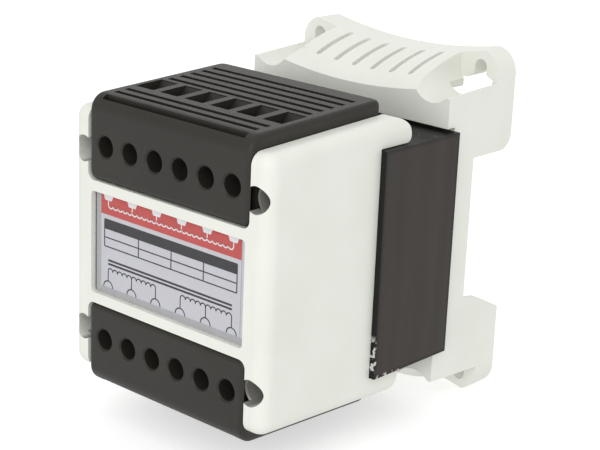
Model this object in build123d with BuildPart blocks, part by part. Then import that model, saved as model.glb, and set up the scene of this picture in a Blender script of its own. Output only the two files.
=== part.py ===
from build123d import *
import os
from math import radians, sqrt, tan

# Mains transformer for a 35 mm rail or a panel, as a moulded housing with touch-proof terminals.
# Origin: middle of the panel plane behind the base. +X right, +Y into the panel, +Z up.
# Depths called "reach" are counted forwards from the panel plane, towards -Y.

os.makedirs("parts", exist_ok=True)

# Lamination stack: EI 66 sheets with upright legs, stacked front to back
core_width = 66.0
core_height = 55.0
core_stack = 27.0
centre_leg = 22.0
outer_leg = 11.0
yoke = 11.0
tie_pitch_x = 55.0
tie_pitch_z = 44.0
tie_hole_d = 4.0
core_gap = 0.2

# Tie screws through the corners of the stack
tie_screw_d = 3.5
tie_head_d = 5.6
tie_head_height = 2.4
tie_head_edge = 0.6
tie_grip = 8.0
driver_tunnel_d = 6.2
tie_boss_length = 3.0
screw_slot_width = 0.8
screw_slot_depth = 1.0

# Front housing
body_width = 62.8
housing_depth = 36.4
housing_wall = 2.0
front_wall = 3.0
lip_length = 10.6
lip_round = 1.5
lip_end_round = 4.5
front_round = 3.5
shoulder_round = 3.0
shoulder_step = 3.3
band_height = 30.0
seam_gap = 0.2

# Label window in the front band
window_width = 49.6
window_height = 24.9
window_recess = 1.5
window_set_back = 0.3
window_round = 1.0
window_bevel = 0.5
window_gap = 0.15
label_thickness = 0.2

# Terminal rows
terminal_count = 6
terminal_pitch = 8.1
terminal_row = 23.6
driver_hole_d = 5.0
driver_hole_edge = 0.4

# Terminal covers
cover_width = 51.4
cover_length = 43.2
cover_top = 35.3
cover_slope = 2.35
cover_wall = 1.8
cover_round = 4.0
cover_edge = 1.4
cover_corner = 2.0
cover_rear_round = 2.4
cover_step = 20.0
cover_skirt = 28.6
relief_edge = 0.6
relief_length = 2.0
entry_width = 5.9
entry_length = 8.2
entry_depth = 16.15
chute_wall = 1.3
louvre_length = 45.0
louvre_width = 1.5
louvre_pitch = 3.6
front_louvres = 3
front_louvre_pitch = 3.35
rear_louvres = 5
louvre_margin = 2.6

# Terminals
clamp_width = 6.2
clamp_length = 10.6
clamp_wall = 1.2
clamp_screw_d = 3.5
clamp_screw_length = 7.5
clamp_head_d = 5.6
clamp_head_height = 2.4
clamp_head_gap = 1.0
thread_gap = 0.05
tag_width = 3.4
tag_thickness = 0.8
tag_upturn = 3.0
strip_thickness = 2.0
strip_gap = 0.4
divider_wall = 1.2
divider_drop = 0.6

# Coil
former_wall = 1.2
former_gap = 0.2
flange_thickness = 1.5
coil_overhang = 6.9
winding_build = 4.8
winding_gap = 0.1
winding_round = 3.0
tape_thickness = 0.3
lead_d = 1.0
lead_gap = 0.1
lead_drop = 9.0

# Mounting base
base_depth = 23.4
base_wrap = 2.7
wrap_gap = 0.9
base_wall = 1.8
base_front_mid = 34.4
base_rear_mid = 41.4
saddle_radius = 122.0
seat_wall = 2.0
seat_bore_d = 3.0
seat_boss_d = 6.8
coil_pocket_gap = 0.3
ear_thickness = 7.2
ear_round = 6.0
ear_top = 44.2
ear_bottom = 36.7
slot_edge = 5.4
slot_pitch_z = 80.0
slot_width = 3.5
slot_mouth_width = 8.4
slot_mouth_height = 1.4
trough_radius = 6.0
trough_floor = 33.8
trough_wall = 1.2
trough_taper = 1.6
trough_window_inset = 1.2
trough_window_length = 6.0
groove_count = 6
groove_pitch = 5.9
groove_width = 1.4
groove_length = 13.5
groove_margin = 7.3
top_wall = 2.0
overcut = 1.0

# Rail recess
rail_height = 35.0
rail_gap = 0.9
rail_lift = 1.55
rail_depth = 15.0
rail_ledge = 6.0
rail_ledge_drop = 1.1
rail_mouth_bottom = 5.6
rail_top_round = 4.0
rail_bottom_round = 1.2
rail_plate_width = 40.0
rail_flange = 1.2
hook_width = 9.0
hook_pitch = 28.0
hook_nose = 1.8
hook_length = 4.5

# Depth stations along Y
seat_y = -base_depth
core_front_y = seat_y - core_stack
core_mid_y = seat_y - core_stack / 2
front_y = core_front_y - housing_depth
base_front_y = seat_y - base_wrap
lip_y = core_front_y + lip_length
cover_back_y = front_y + cover_length
entry_y = front_y + entry_depth

# Heights and half widths shared by several pieces
half_width = body_width / 2
cover_half = cover_width / 2
slope = tan(radians(cover_slope))
seam_z = band_height / 2 + seam_gap
shoulder_top = cover_top - shoulder_step
cover_back_top = cover_top + slope * cover_length
lip_top = shoulder_top + slope * (lip_y - front_y)
lip_bottom = core_height / 2 + core_gap
reach = 2 * (core_width + core_height)
window_half = core_height / 2 - yoke
former_half = window_half - former_gap
tunnel_r = driver_tunnel_d / 2
tube_r = (body_width - tie_pitch_x) / 2

# Terminal stations: the strip lies on the former's end flange, tag and clamp stand on the strip
strip_z = former_half
tag_z = strip_z + strip_thickness
clamp_z = tag_z + tag_thickness
clamp_height = 2 * (terminal_row - clamp_z)
clamp_top = clamp_z + clamp_height
clamp_front_y = entry_y - clamp_length / 2
chute_z = clamp_top + seam_gap + divider_drop
lead_y = core_front_y - coil_overhang - lead_gap - lead_d / 2
tag_back_y = lead_y + lead_d / 2 + tag_thickness + thread_gap
terminal_x = [(i - (terminal_count - 1) / 2) * terminal_pitch for i in range(terminal_count)]
lead_x = terminal_x[1:-1]

# Core: E and I sheets interleaved, one varnished stack with two windows and four corner holes
with BuildPart() as laminated_core:
    with BuildSketch(Plane.XZ.offset(-seat_y)):
        Rectangle(core_width, core_height)
        window_width_x = core_width / 2 - outer_leg - centre_leg / 2
        with GridLocations(centre_leg + window_width_x, 1, 2, 1):
            Rectangle(window_width_x, core_height - 2 * yoke, mode=Mode.SUBTRACT)
        with GridLocations(tie_pitch_x, tie_pitch_z, 2, 2):
            Circle(tie_hole_d / 2, mode=Mode.SUBTRACT)
    extrude(amount=core_stack)
laminated_core.part.label = "laminated_core"
export_step(laminated_core.part, "parts/laminated_core.step")

# Coil former: square tube round the centre leg with two end flanges and a middle one
tube_inner = (centre_leg + 2 * former_gap, core_stack + 2 * former_gap)
tube_outer = (tube_inner[0] + 2 * former_wall, tube_inner[1] + 2 * former_wall)
flange_size = (core_width - 2 * outer_leg - 2 * former_gap, core_stack + 2 * coil_overhang)
with BuildPart() as coil_former:
    with BuildSketch(Plane.XY.offset(-former_half)):
        with Locations((0, core_mid_y)):
            Rectangle(*tube_outer)
    extrude(amount=2 * former_half)
    flange_feet = (-former_half, -flange_thickness / 2, former_half - flange_thickness)
    for foot in flange_feet:
        with BuildSketch(Plane.XY.offset(foot)):
            with Locations((0, core_mid_y)):
                RectangleRounded(*flange_size, winding_round)
        extrude(amount=flange_thickness)
    with BuildSketch(Plane.XY.offset(-former_half)):
        with Locations((0, core_mid_y)):
            Rectangle(*tube_inner)
    extrude(amount=2 * former_half, mode=Mode.SUBTRACT)
coil_former.part.label = "coil_former"
export_step(coil_former.part, "parts/coil_former.step")

# Windings: one copper ring in each chamber, each with its wrap of tape
winding_inner = [side + 2 * winding_gap for side in tube_outer]
winding_outer = [side + 2 * winding_build for side in winding_inner]
tape_inner = [side + 2 * winding_gap for side in winding_outer]
tape_outer = [side + 2 * tape_thickness for side in tape_inner]
chamber_foot = flange_thickness / 2 + winding_gap
chamber_height = former_half - flange_thickness - winding_gap - chamber_foot

with BuildPart() as primary_winding:
    with BuildSketch(Plane.XY.offset(chamber_foot)):
        with Locations((0, core_mid_y)):
            RectangleRounded(*winding_outer, winding_round)
            Rectangle(*winding_inner, mode=Mode.SUBTRACT)
    extrude(amount=chamber_height)
primary_winding.part.label = "primary_winding"
export_step(primary_winding.part, "parts/primary_winding.step")

with BuildPart() as primary_tape:
    with BuildSketch(Plane.XY.offset(chamber_foot)):
        with Locations((0, core_mid_y)):
            RectangleRounded(*tape_outer, winding_round + winding_gap + tape_thickness)
            RectangleRounded(*tape_inner, winding_round + winding_gap, mode=Mode.SUBTRACT)
    extrude(amount=chamber_height)
primary_tape.part.label = "primary_tape"
export_step(primary_tape.part, "parts/primary_tape.step")

with BuildPart() as secondary_winding:
    mirror(primary_winding.part, about=Plane.XY)
secondary_winding.part.label = "secondary_winding"
export_step(secondary_winding.part, "parts/secondary_winding.step")

with BuildPart() as secondary_tape:
    mirror(primary_tape.part, about=Plane.XY)
secondary_tape.part.label = "secondary_tape"
export_step(secondary_tape.part, "parts/secondary_tape.step")

# Terminal strip: plate on the former's flange with dividers between the clamps and lead holes
strip_half = cover_half - cover_wall - strip_gap
strip_front_y = clamp_front_y - clamp_head_gap - clamp_head_height
strip_back_y = core_front_y - strip_gap
divider_top = clamp_top + seam_gap
with BuildPart() as upper_terminal_strip:
    with BuildSketch(Plane.XY.offset(strip_z)):
        with Locations((0, strip_front_y)):
            Rectangle(2 * strip_half, strip_back_y - strip_front_y, align=(Align.CENTER, Align.MIN))
        with Locations(*[(x, lead_y) for x in terminal_x]):
            Circle(lead_d / 2 + thread_gap, mode=Mode.SUBTRACT)
    extrude(amount=strip_thickness)
    with BuildSketch(Plane.XY.offset(tag_z)):
        with Locations((0, strip_front_y)):
            with GridLocations(terminal_pitch, 1, terminal_count - 1, 1):
                Rectangle(divider_wall, clamp_length + entry_length, align=(Align.CENTER, Align.MIN))
    extrude(amount=divider_top - tag_z)
upper_terminal_strip.part.label = "upper_terminal_strip"
export_step(upper_terminal_strip.part, "parts/upper_terminal_strip.step")

with BuildPart() as lower_terminal_strip:
    mirror(upper_terminal_strip.part, about=Plane.XY)
lower_terminal_strip.part.label = "lower_terminal_strip"
export_step(lower_terminal_strip.part, "parts/lower_terminal_strip.step")

# Solder tags: tinned strips under the clamps, turned up behind the leads
with BuildPart() as upper_solder_tags:
    with BuildSketch(Plane.XY.offset(tag_z)):
        with Locations(*[(x, clamp_front_y) for x in terminal_x]):
            Rectangle(tag_width, tag_back_y - clamp_front_y, align=(Align.CENTER, Align.MIN))
        with Locations(*[(x, lead_y) for x in terminal_x]):
            Circle(lead_d / 2 + thread_gap, mode=Mode.SUBTRACT)
    extrude(amount=tag_thickness)
    with BuildSketch(Plane.XY.offset(tag_z)):
        with Locations(*[(x, tag_back_y) for x in terminal_x]):
            Rectangle(tag_width, tag_thickness, align=(Align.CENTER, Align.MAX))
    extrude(amount=tag_thickness + tag_upturn)
upper_solder_tags.part.label = "upper_solder_tags"
export_step(upper_solder_tags.part, "parts/upper_solder_tags.step")

with BuildPart() as lower_solder_tags:
    mirror(upper_solder_tags.part, about=Plane.XY)
lower_solder_tags.part.label = "lower_solder_tags"
export_step(lower_solder_tags.part, "parts/lower_solder_tags.step")

# Wire clamps: plated boxes open to the wire from above, tapped for the screw in front
with BuildPart() as upper_wire_clamps:
    with BuildSketch(Plane.XY.offset(clamp_z)):
        with Locations(*[(x, entry_y) for x in terminal_x]):
            Rectangle(clamp_width, clamp_length)
            Rectangle(clamp_width - 2 * clamp_wall, clamp_length - 2 * clamp_wall, mode=Mode.SUBTRACT)
    extrude(amount=clamp_height)
    with BuildSketch(Plane.XZ.offset(-clamp_front_y)):
        with Locations(*[(x, terminal_row) for x in terminal_x]):
            Circle(clamp_screw_d / 2 + thread_gap)
    extrude(amount=-2 * clamp_wall, mode=Mode.SUBTRACT)
upper_wire_clamps.part.label = "upper_wire_clamps"
export_step(upper_wire_clamps.part, "parts/upper_wire_clamps.step")

with BuildPart() as lower_wire_clamps:
    mirror(upper_wire_clamps.part, about=Plane.XY)
lower_wire_clamps.part.label = "lower_wire_clamps"
export_step(lower_wire_clamps.part, "parts/lower_wire_clamps.step")

# Clamp screws: slotted heads behind the round holes of the cover
clamp_head_y = clamp_front_y - clamp_head_gap
with BuildPart() as upper_clamp_screws:
    with BuildSketch(Plane.XZ.offset(-clamp_head_y)):
        with Locations(*[(x, terminal_row) for x in terminal_x]):
            Circle(clamp_head_d / 2)
    extrude(amount=clamp_head_height)
    with BuildSketch(Plane.XZ.offset(-clamp_head_y)):
        with Locations(*[(x, terminal_row) for x in terminal_x]):
            Circle(clamp_screw_d / 2)
    extrude(amount=-clamp_screw_length)
    with BuildSketch(Plane.XZ.offset(clamp_head_height - clamp_head_y)):
        with Locations(*[(x, terminal_row) for x in terminal_x]):
            Rectangle(screw_slot_width, clamp_head_d)
    extrude(amount=-screw_slot_depth, mode=Mode.SUBTRACT)
upper_clamp_screws.part.label = "upper_clamp_screws"
export_step(upper_clamp_screws.part, "parts/upper_clamp_screws.step")

with BuildPart() as lower_clamp_screws:
    mirror(upper_clamp_screws.part, about=Plane.XY)
lower_clamp_screws.part.label = "lower_clamp_screws"
export_step(lower_clamp_screws.part, "parts/lower_clamp_screws.step")

# Leads: round wire from the middle solder tags down past the flange, along the wrap of the winding
lead_top = tag_z + tag_thickness
with BuildPart() as primary_leads:
    with BuildSketch(Plane.XY.offset(lead_top)):
        with Locations(*[(x, lead_y) for x in lead_x]):
            Circle(lead_d / 2)
    extrude(amount=-lead_drop)
primary_leads.part.label = "primary_leads"
export_step(primary_leads.part, "parts/primary_leads.step")

with BuildPart() as secondary_leads:
    mirror(primary_leads.part, about=Plane.XY)
secondary_leads.part.label = "secondary_leads"
export_step(secondary_leads.part, "parts/secondary_leads.step")

# Front housing: shell open to the rear, with the covers' openings and lips over the core
with BuildPart() as front_housing:
    body_y = lip_y + overcut
    body_top = lip_top + slope * overcut
    with BuildSketch(Plane.YZ):
        with BuildLine():
            Polyline(
                (front_y, -shoulder_top),
                (front_y, shoulder_top),
                (body_y, body_top),
                (body_y, -body_top),
                close=True,
            )
        make_face()
    extrude(amount=half_width, both=True)
    fillet(edges().filter_by(Axis.Z).group_by(Axis.Y)[0], radius=front_round)
    shoulder_faces = faces().sort_by(Axis.Z)
    rims = ShapeList(shoulder_faces[0].edges() + shoulder_faces[-1].edges())
    fillet(rims.filter_by(lambda rim: rim.center().Y < lip_y - lip_round), radius=shoulder_round)

    # Lips rounded off towards the rear
    with BuildSketch(Plane.YZ):
        with BuildLine():
            Polyline(
                (front_y, -shoulder_top),
                (front_y, shoulder_top),
                (lip_y, lip_top),
                (lip_y, -lip_top),
                close=True,
            )
        make_face()
        fillet(vertices().group_by(Axis.X)[-1], radius=lip_end_round)
    extrude(amount=half_width, both=True, mode=Mode.INTERSECT)

    # Inside of the shell
    inner_front_y = front_y + front_wall
    inner_back_y = lip_y - housing_wall
    inner_front = shoulder_top - housing_wall + slope * front_wall
    inner_back = lip_top - housing_wall - slope * housing_wall
    with BuildSketch(Plane.YZ):
        with BuildLine():
            Polyline(
                (inner_front_y, -inner_front),
                (inner_front_y, inner_front),
                (inner_back_y, inner_back),
                (inner_back_y, -inner_back),
                close=True,
            )
        make_face()
    extrude(amount=half_width - housing_wall, both=True, mode=Mode.SUBTRACT)

    # Bosses that the tie screws pull against the core
    with BuildSketch(Plane.XZ.offset(-core_front_y)):
        with GridLocations(tie_pitch_x, tie_pitch_z, 2, 2):
            Rectangle(body_width - tie_pitch_x, body_width - tie_pitch_x)
    extrude(amount=tie_boss_length)

    # Passage for the core between the lips
    with BuildSketch(Plane.YZ):
        with Locations((core_front_y, 0)):
            Rectangle(reach, 2 * lip_bottom, align=(Align.MIN, Align.CENTER))
        fillet_foot = lip_y - lip_round
        with Locations((fillet_foot, 0)):
            Rectangle(reach, 2 * (lip_bottom + lip_round), align=(Align.MIN, Align.CENTER))
        with Locations((fillet_foot, lip_bottom + lip_round), (fillet_foot, -lip_bottom - lip_round)):
            Circle(lip_round, mode=Mode.SUBTRACT)
    extrude(amount=reach, both=True, mode=Mode.SUBTRACT)

    # Openings for the two covers, running out to the rear above the core
    opening_half = cover_half + seam_gap
    with BuildSketch(Plane.XZ.offset(-front_y)):
        with Locations((0, band_height / 2)):
            Rectangle(2 * opening_half, reach, align=(Align.CENTER, Align.MIN))
        fillet(vertices().group_by(Axis.Y)[0], radius=cover_corner)
        mirror(about=Plane.XZ)
    extrude(amount=tie_boss_length - housing_depth, mode=Mode.SUBTRACT)
    with BuildSketch(Plane.XZ.offset(-front_y)):
        with Locations((0, lip_bottom)):
            Rectangle(2 * opening_half, reach, align=(Align.CENTER, Align.MIN))
        mirror(about=Plane.XZ)
    extrude(amount=-reach, mode=Mode.SUBTRACT)

    # Tubes round two of the tie screws, beside the covers
    with BuildSketch(Plane.XZ.offset(tie_boss_length - core_front_y)):
        with Locations((tie_pitch_x / 2, -tie_pitch_z / 2), (-tie_pitch_x / 2, tie_pitch_z / 2)):
            Circle(tube_r)
    extrude(amount=housing_depth - tie_boss_length - relief_edge - relief_length)

    # Tie holes, and tunnels for the screwdriver that notch the front corners
    with BuildSketch(Plane.XZ.offset(-core_front_y)):
        with GridLocations(tie_pitch_x, tie_pitch_z, 2, 2):
            Circle(tie_hole_d / 2)
    extrude(amount=tie_boss_length, mode=Mode.SUBTRACT)
    with BuildSketch(Plane.XZ.offset(tie_boss_length - core_front_y)):
        with GridLocations(tie_pitch_x, tie_pitch_z, 2, 2):
            Circle(tunnel_r)
    extrude(amount=housing_depth, mode=Mode.SUBTRACT)

    # Recess for the label and its window
    with BuildSketch(Plane.XZ.offset(-front_y)):
        RectangleRounded(window_width, window_height, window_round)
    extrude(amount=-window_recess, mode=Mode.SUBTRACT)
front_housing.part.label = "front_housing"
export_step(front_housing.part, "parts/front_housing.step")

# Rating label: printed film on the floor of the recess
with BuildPart() as rating_label:
    with BuildSketch(Plane.XZ.offset(-front_y - window_recess)):
        RectangleRounded(window_width - 2 * window_gap, window_height - 2 * window_gap, window_round)
    extrude(amount=label_thickness)
rating_label.part.label = "rating_label"
export_step(rating_label.part, "parts/rating_label.step")

# Label window: clear plate over the label, bevelled at its front edge
with BuildPart() as label_window:
    with BuildSketch(Plane.XZ.offset(-front_y - window_recess + label_thickness)):
        RectangleRounded(window_width - 2 * window_gap, window_height - 2 * window_gap, window_round)
    extrude(amount=window_recess - label_thickness - window_set_back)
    chamfer(faces().sort_by(Axis.Y)[0].edges(), length=window_bevel)
label_window.part.label = "label_window"
export_step(label_window.part, "parts/label_window.step")

# Terminal cover: hood over a row of terminals, with wire chutes through its louvred top
cover_step_y = front_y + cover_step
with BuildPart() as upper_terminal_cover:
    with BuildSketch(Plane.YZ):
        with BuildLine():
            Polyline(
                (front_y, seam_z),
                (front_y, cover_top),
                (cover_back_y, cover_back_top),
                (cover_back_y, cover_skirt),
                (cover_step_y, cover_skirt),
                (cover_step_y, seam_z),
                close=True,
            )
        make_face()
        front_corner = vertices().filter_by(lambda corner: corner.Y > seam_z).sort_by(Axis.X)[0]
        fillet(front_corner, radius=cover_round)
    extrude(amount=cover_half, both=True)
    front_lower = edges().filter_by(Axis.Y).group_by(Axis.Z)[0]
    fillet(front_lower, radius=cover_corner)
    fillet(edges().filter_by(Axis.Z).group_by(Axis.Y)[-1], radius=cover_rear_round)
    side_rims = ShapeList(
        faces().sort_by(Axis.X)[0].edges() + faces().sort_by(Axis.X)[-1].edges()
    )
    fillet(
        side_rims.filter_by(lambda rim: rim.center().Z > cover_top - cover_round),
        radius=cover_edge,
    )

    # Inside of the hood, open below
    inner_y = front_y + cover_wall
    inner_end_y = cover_back_y - cover_wall
    inner_top = cover_top - cover_wall + slope * cover_wall
    inner_end_top = cover_back_top - cover_wall - slope * cover_wall
    with BuildSketch(Plane.YZ):
        with BuildLine():
            Polyline(
                (inner_y, 0),
                (inner_y, inner_top),
                (inner_end_y, inner_end_top),
                (inner_end_y, 0),
                close=True,
            )
        make_face()
        inner_corner = vertices().filter_by(lambda corner: corner.Y > seam_z).sort_by(Axis.X)[0]
        fillet(inner_corner, radius=cover_round - cover_wall)
    extrude(amount=cover_half - cover_wall, both=True, mode=Mode.SUBTRACT)

    # Cross bar that holds the wire chutes
    with BuildSketch(Plane.XY.offset(chute_z)):
        with Locations((0, entry_y)):
            Rectangle(2 * (cover_half - cover_wall), entry_length + 2 * chute_wall)
    extrude(amount=cover_top - cover_wall / 2 - chute_z)
    with BuildSketch(Plane.XY.offset(chute_z)):
        with Locations((0, entry_y)):
            with GridLocations(terminal_pitch, 1, terminal_count, 1):
                Rectangle(entry_width, entry_length)
    extrude(amount=cover_back_top, mode=Mode.SUBTRACT)

    # Louvres in front of and behind the wire entries
    front_louvre_y = entry_y - entry_length / 2 - louvre_margin - louvre_width / 2
    rear_louvre_y = entry_y + entry_length / 2 + louvre_margin / 2 + louvre_width / 2
    louvre_ys = [front_louvre_y - i * front_louvre_pitch for i in range(front_louvres)]
    louvre_ys += [rear_louvre_y + i * louvre_pitch for i in range(rear_louvres)]
    with BuildSketch(Plane.XY.offset(inner_top - cover_wall)):
        with Locations(*[(0, y) for y in louvre_ys]):
            Rectangle(louvre_length, louvre_width)
    extrude(amount=cover_back_top, mode=Mode.SUBTRACT)

    # Reliefs beside the tie screws: a slot behind the front plate, and room for the housing's tube
    for side in (1, -1):
        with BuildSketch(Plane.YZ.offset(side * (cover_half - cover_wall))):
            with Locations((front_y + relief_edge, tie_pitch_z / 2)):
                Rectangle(relief_length, driver_tunnel_d, align=(Align.MIN, Align.CENTER))
        extrude(amount=side * 2 * cover_wall, mode=Mode.SUBTRACT)
    with BuildSketch(Plane.YZ.offset(cover_wall - cover_half)):
        with Locations((front_y + relief_edge + relief_length - seam_gap, tie_pitch_z / 2)):
            Rectangle(cover_step, 2 * (tube_r + seam_gap), align=(Align.MIN, Align.CENTER))
    extrude(amount=-2 * cover_wall, mode=Mode.SUBTRACT)

    # Round holes for the screwdriver
    with BuildSketch(Plane.XZ.offset(-front_y)):
        with Locations(*[(x, terminal_row) for x in terminal_x]):
            Circle(driver_hole_d / 2)
    extrude(amount=-2 * cover_wall, mode=Mode.SUBTRACT)
    hole_rims = edges().filter_by(GeomType.CIRCLE).filter_by(
        lambda rim: abs(rim.center().Y - front_y) < seam_gap
    )
    chamfer(hole_rims, length=driver_hole_edge)
upper_terminal_cover.part.label = "upper_terminal_cover"
export_step(upper_terminal_cover.part, "parts/upper_terminal_cover.step")

with BuildPart() as lower_terminal_cover:
    add(upper_terminal_cover.part, rotation=(0, 180, 0))
lower_terminal_cover.part.label = "lower_terminal_cover"
export_step(lower_terminal_cover.part, "parts/lower_terminal_cover.step")

# Tie screws: pan heads in the housing's tunnels, shanks through the core, threads in the base
tie_head_reach = tie_boss_length - core_front_y
with BuildPart() as tie_screws:
    with BuildSketch(Plane.XZ.offset(tie_head_reach)):
        with GridLocations(tie_pitch_x, tie_pitch_z, 2, 2):
            Circle(tie_head_d / 2)
    extrude(amount=tie_head_height)
    chamfer(faces().group_by(Axis.Y)[0].edges(), length=tie_head_edge)
    with BuildSketch(Plane.XZ.offset(tie_head_reach)):
        with GridLocations(tie_pitch_x, tie_pitch_z, 2, 2):
            Circle(tie_screw_d / 2)
    extrude(amount=-(tie_boss_length + core_stack))
    with BuildSketch(Plane.XZ.offset(-seat_y)):
        with GridLocations(tie_pitch_x, tie_pitch_z, 2, 2):
            Circle(seat_bore_d / 2 - thread_gap)
    extrude(amount=-tie_grip)
    with BuildSketch(Plane.XZ.offset(tie_head_reach + tie_head_height)):
        with GridLocations(tie_pitch_x, tie_pitch_z, 2, 2):
            Rectangle(screw_slot_width, tie_head_d)
    extrude(amount=-screw_slot_depth, mode=Mode.SUBTRACT)
tie_screws.part.label = "tie_screws"
export_step(tie_screws.part, "parts/tie_screws.step")

# Mounting base: hollow moulding, its concave top and bottom flaring towards the panel
base_front_reach = -base_front_y
saddle_z = base_rear_mid + saddle_radius
trough_x = half_width - slot_edge
trough_z = trough_floor + trough_radius
trough_lip = trough_z - sqrt(trough_radius**2 - slot_edge**2)
shell_radius = trough_radius + trough_wall
rail_top = rail_lift + (rail_height + rail_gap) / 2
rail_bottom = rail_lift - (rail_height + rail_gap) / 2
rail_floor_y = -rail_depth
rail_mouth = max(rail_top + rail_top_round, rail_mouth_bottom + rail_bottom_round - rail_bottom)
hollow_floor = rail_mouth + base_wall
hollow_front_y = seat_y + seat_wall


def saddle(sink):
    """Round body whose belly gives the base its saddle-shaped top, lowered by the given depth."""
    crest_front = base_front_mid - sink
    crest_rear = base_rear_mid - sink
    with BuildPart() as belly:
        with BuildSketch(Plane.YZ):
            with BuildLine():
                TangentArc((0, crest_rear), (base_front_y, crest_front), tangent=(-1, 0))
                Polyline(
                    (base_front_y, crest_front),
                    (base_front_y - overcut, crest_front),
                    (base_front_y - overcut, saddle_z),
                    (overcut, saddle_z),
                    (overcut, crest_rear),
                    (0, crest_rear),
                )
            make_face()
        revolve(axis=Axis((0, 0, saddle_z), (0, 1, 0)))
    return belly.part


# Hollow of the base: one cavity under the saddle and round the troughs, open to the panel
with BuildPart() as hollow:
    with BuildSketch(Plane.XZ.offset(-overcut)):
        with Locations((0, hollow_floor)):
            hollow_width = body_width - 2 * base_wall
            Rectangle(hollow_width, ear_bottom - hollow_floor, align=(Align.CENTER, Align.MIN))
            crown_width = 2 * (trough_x - shell_radius)
            Rectangle(crown_width, ear_top - hollow_floor, align=(Align.CENTER, Align.MIN))
    extrude(amount=overcut - hollow_front_y)
    with BuildSketch(Plane.XZ.offset(ear_thickness)):
        with Locations((trough_x, trough_z)):
            Circle(shell_radius)
        with Locations((trough_x - shell_radius, trough_z)):
            Rectangle(reach, reach, align=(Align.MIN, Align.MIN))
        mirror(about=Plane.YZ)
    extrude(amount=base_front_reach, mode=Mode.SUBTRACT)
    add(saddle(top_wall), mode=Mode.SUBTRACT)

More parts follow.
